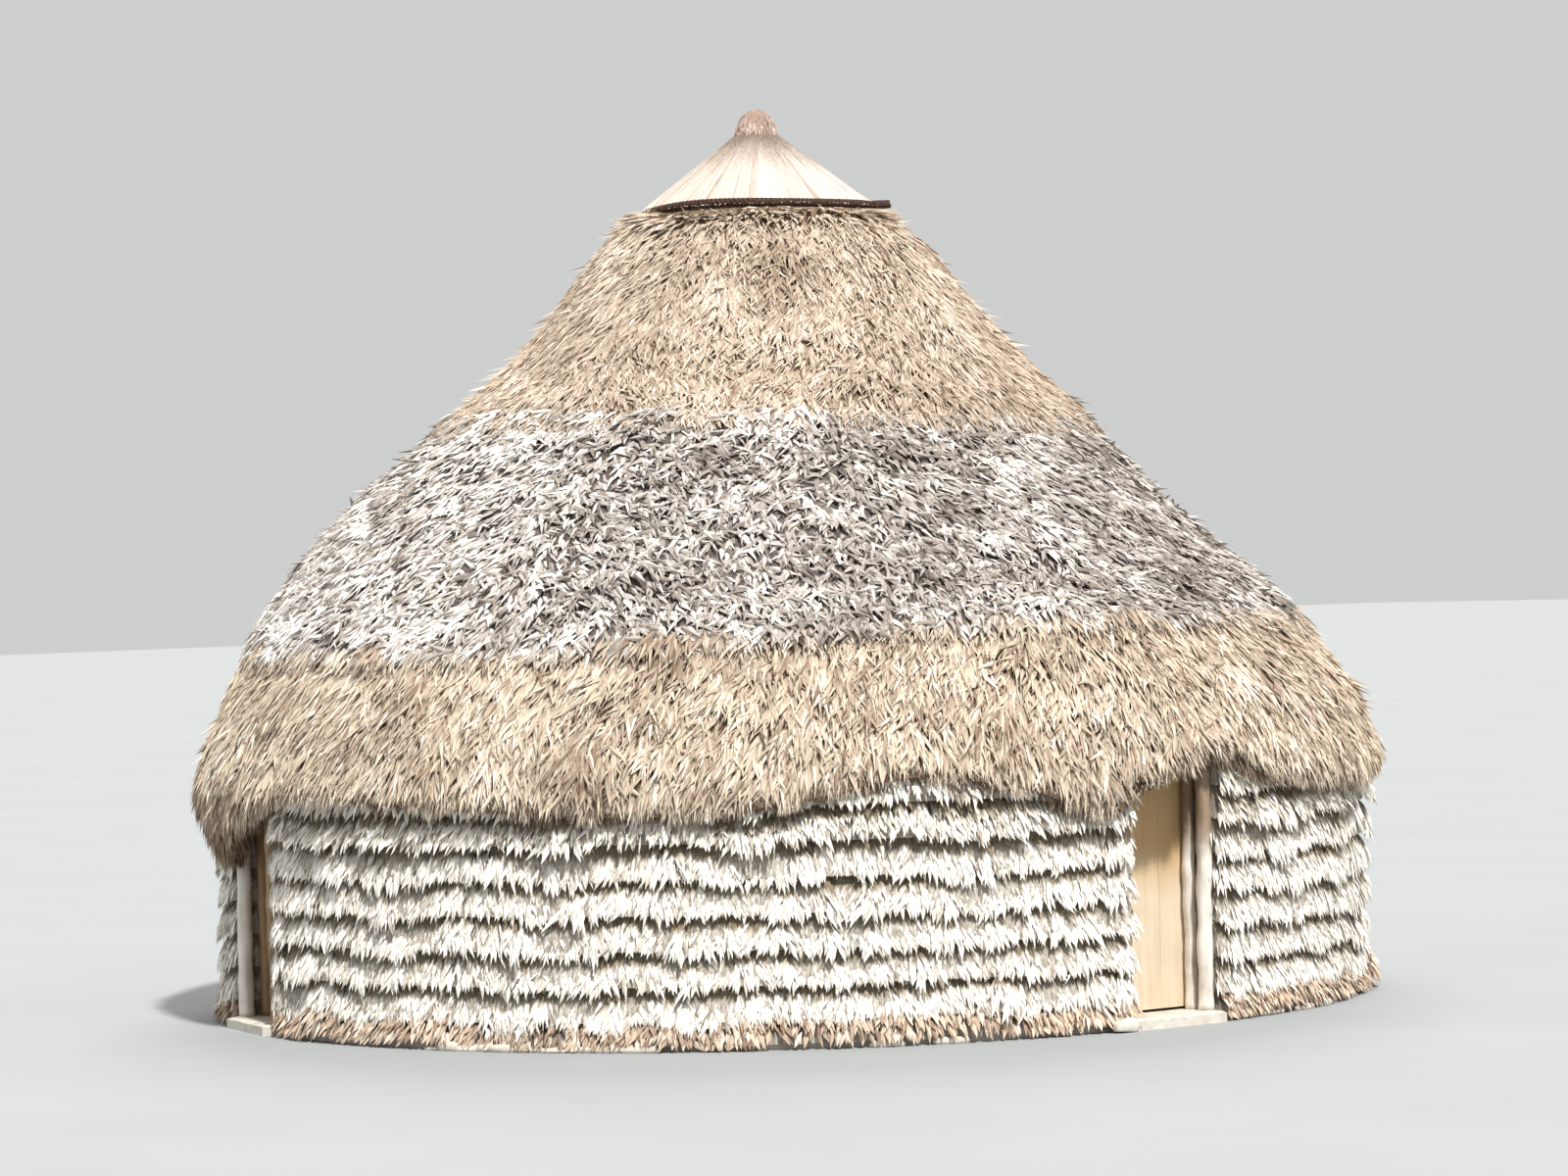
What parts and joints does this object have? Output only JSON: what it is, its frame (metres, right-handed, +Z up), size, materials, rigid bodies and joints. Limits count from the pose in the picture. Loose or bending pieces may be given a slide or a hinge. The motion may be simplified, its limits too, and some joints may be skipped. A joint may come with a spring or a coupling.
{
  "type": "round thatched house",
  "caption": "Round single-room house with a bell-shaped thatched roof, a wall of thatch rows and low plank doors that swing inward.",
  "frame": {"origin": "ground level at the centre of the round wall", "axes": "+Z up, main door facing -Y"},
  "size_m": [6.782, 6.7721, 5.14],
  "materials": {
    "lime_slab": "rough coral-lime slab",
    "white_stone": "rough pale stone",
    "pale_thatch": "shaggy sun-bleached thatch",
    "brown_thatch": "dry brown thatch",
    "grey_thatch": "weathered grey thatch",
    "golden_thatch": "golden-brown thatch",
    "cream_straw": "smooth combed straw",
    "dark_rope": "dark twisted rope",
    "pole_wood": "round poles with bark off",
    "grey_post_wood": "weathered grey posts",
    "tan_board": "plain tan board",
    "brown_board": "dark brown boards",
    "dark_iron": "dull black iron"
  },
  "bodies": {
    "house": {"floor_slab": "lime_slab", "main_threshold": "lime_slab", "side_threshold": "lime_slab", "foot_stone": "white_stone", "front_wall_left": "pale_thatch", "front_wall_right": "pale_thatch", "right_wall_front": "pale_thatch", "right_wall_back": "pale_thatch", "back_wall_right": "pale_thatch", "back_wall_left": "pale_thatch", "left_wall": "pale_thatch", "wall_posts": "pole_wood", "wall_laths": "pole_wood", "wall_plate": "pole_wood", "centre_post": "pole_wood", "post_collar": "pole_wood", "rafters": "pole_wood", "roof_hoops": "pole_wood", "main_door_posts": "grey_post_wood", "main_door_head": "grey_post_wood", "main_door_pins": "dark_iron", "side_door_posts": "grey_post_wood", "side_door_head": "grey_post_wood", "side_door_pins": "dark_iron", "lower_thatch": "brown_thatch", "grey_thatch": "grey_thatch", "upper_thatch": "golden_thatch", "cap_cone": "cream_straw", "cap_binding": "dark_rope", "cap_knot": "brown_thatch"},
    "main_door": {"main_door_leaf": "tan_board", "main_door_ledges": "tan_board", "main_door_straps": "dark_iron"},
    "side_door": {"side_door_leaf": "brown_board", "side_door_ledges": "brown_board", "side_door_straps": "dark_iron"}
  },
  "joints": [
    {"name": "main_door_hinge", "type": "hinge", "parent": "house", "child": "main_door", "pos_m": [0.315, -3.018, 0.7], "axis": [0, 0, -1], "range_deg": [0, 95]},
    {"name": "side_door_hinge", "type": "hinge", "parent": "house", "child": "side_door", "pos_m": [-2.99995, 0.45592, 0.7], "axis": [0, 0, -1], "range_deg": [0, 95]}
  ]
}
